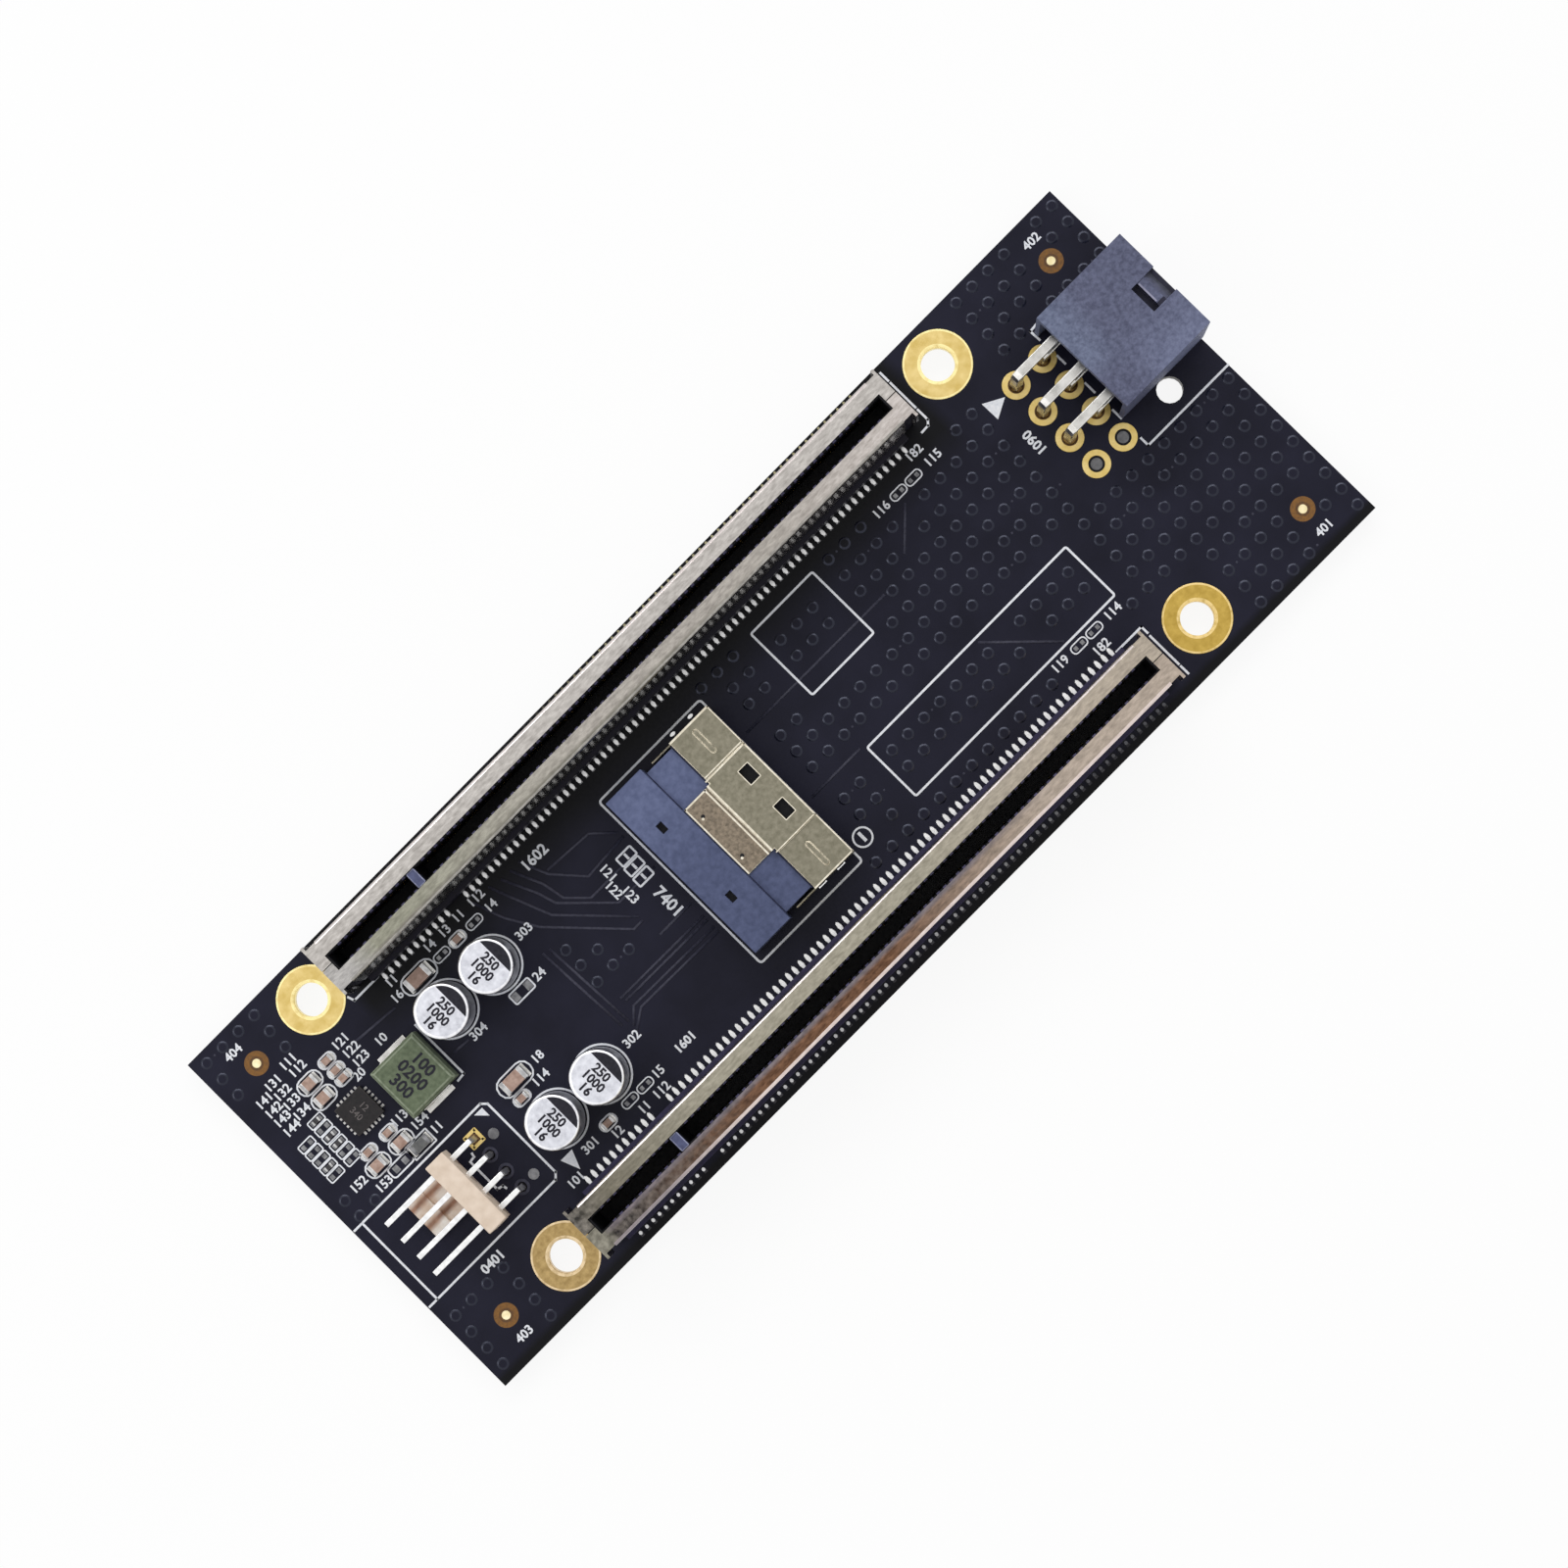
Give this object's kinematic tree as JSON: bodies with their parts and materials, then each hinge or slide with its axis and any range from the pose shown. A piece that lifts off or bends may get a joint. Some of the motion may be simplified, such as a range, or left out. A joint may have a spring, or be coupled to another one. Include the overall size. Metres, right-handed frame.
{
  "type": "pcie splitter card",
  "caption": "Flat black circuit board that splits one cable socket into two parallel armoured card slots, with a power header, a fan header, small parts and mounting holes.",
  "frame": {"origin": "centre of the four mounting holes, on the board's underside", "axes": "+X along the board towards the power header, +Y across it towards the slot on the power header's side, +Z out of the component side"},
  "size_m": [0.1383, 0.0508, 0.0137],
  "materials": {
    "solder_mask": "dark satin solder mask over laminate",
    "gold_plating": "thin gold plating",
    "slot_moulding": "moulded, matt black",
    "armour_steel": "plain plated sheet, satin",
    "contact_gold": "gold-plated spring strip",
    "socket_moulding": "moulded, slate blue",
    "socket_nickel": "nickel-plated sheet, satin",
    "header_moulding": "moulded, slate grey",
    "tin_plate": "bright tin plating",
    "fan_moulding": "moulded, ivory",
    "can_aluminium": "drawn can, satin",
    "inductor_core": "pressed powder core, matt olive",
    "chip_epoxy": "moulded, matt black",
    "capacitor_ceramic": "fired, tan",
    "resistor_film": "coated, black",
    "fuse_body": "fired, pale"
  },
  "bodies": {
    "root": {"circuit_board": "solder_mask", "mounting_lands": "gold_plating", "cable_socket_housing": "socket_moulding", "cable_socket_shell": "socket_nickel", "cable_socket_upper_contacts": "contact_gold", "cable_socket_lower_contacts": "contact_gold", "power_header_housing": "header_moulding", "power_header_lower_pins": "tin_plate", "power_header_upper_pins": "tin_plate", "fan_header_base": "fan_moulding", "fan_header_pins": "tin_plate", "capacitor_can_1": "can_aluminium", "capacitor_can_2": "can_aluminium", "capacitor_can_3": "can_aluminium", "capacitor_can_4": "can_aluminium", "capacitor_leads": "tin_plate", "inductor_core": "inductor_core", "inductor_terminals": "tin_plate", "regulator_chip": "chip_epoxy", "large_chip_capacitors": "capacitor_ceramic", "large_chip_capacitors_ends": "tin_plate", "medium_chip_capacitors": "capacitor_ceramic", "medium_chip_capacitors_ends": "tin_plate", "small_chip_capacitors": "capacitor_ceramic", "small_chip_capacitors_ends": "tin_plate", "chip_resistors": "resistor_film", "chip_resistors_ends": "tin_plate", "chip_fuse": "fuse_body", "chip_fuse_ends": "tin_plate", "upper_slot_housing": "slot_moulding", "upper_slot_outer_contacts": "contact_gold", "upper_slot_outer_armour": "armour_steel", "upper_slot_inner_contacts": "contact_gold", "upper_slot_inner_armour": "armour_steel", "lower_slot_housing": "slot_moulding", "lower_slot_outer_contacts": "contact_gold", "lower_slot_outer_armour": "armour_steel", "lower_slot_inner_contacts": "contact_gold", "lower_slot_inner_armour": "armour_steel"}
  },
  "joints": []
}
